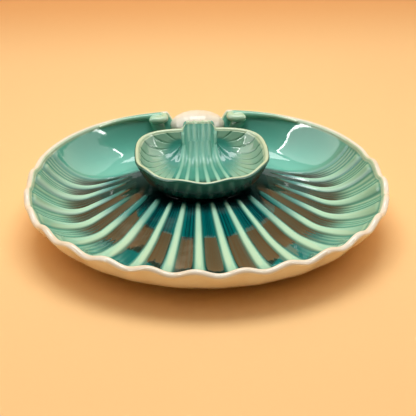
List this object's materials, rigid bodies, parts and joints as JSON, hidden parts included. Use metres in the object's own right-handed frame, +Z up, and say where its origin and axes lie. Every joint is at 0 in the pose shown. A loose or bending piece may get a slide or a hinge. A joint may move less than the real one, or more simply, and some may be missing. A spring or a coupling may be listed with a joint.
{
  "type": "chip and dip platter",
  "caption": "Scallop-shell serving platter in teal glaze with a fanned, ribbed basin, scrolled hinge and a loose shell-shaped dip bowl standing at the back.",
  "frame": {"origin": "on the table, under the middle of the platter's bounding box", "axes": "+X to the right across the width, +Y from the fluted front rim to the hinge, +Z up"},
  "size_m": [0.356, 0.336, 0.0591],
  "materials": {
    "teal_glaze": "gloss",
    "mint_glaze": "gloss",
    "cream_glaze": "gloss"
  },
  "bodies": {
    "platter": {"platter_body": "teal_glaze", "platter_foot_ring": "cream_glaze", "hinge_knuckle": "cream_glaze", "left_scroll": "mint_glaze", "right_scroll": "mint_glaze"},
    "dip_bowl": {"dip_bowl_body": "teal_glaze", "dip_bowl_foot_ring": "cream_glaze"}
  },
  "joints": [
    {"name": "bowl_lift", "type": "slide", "parent": "platter", "child": "dip_bowl", "axis": [0, 0, 1], "range_m": [0, 0.09]}
  ]
}
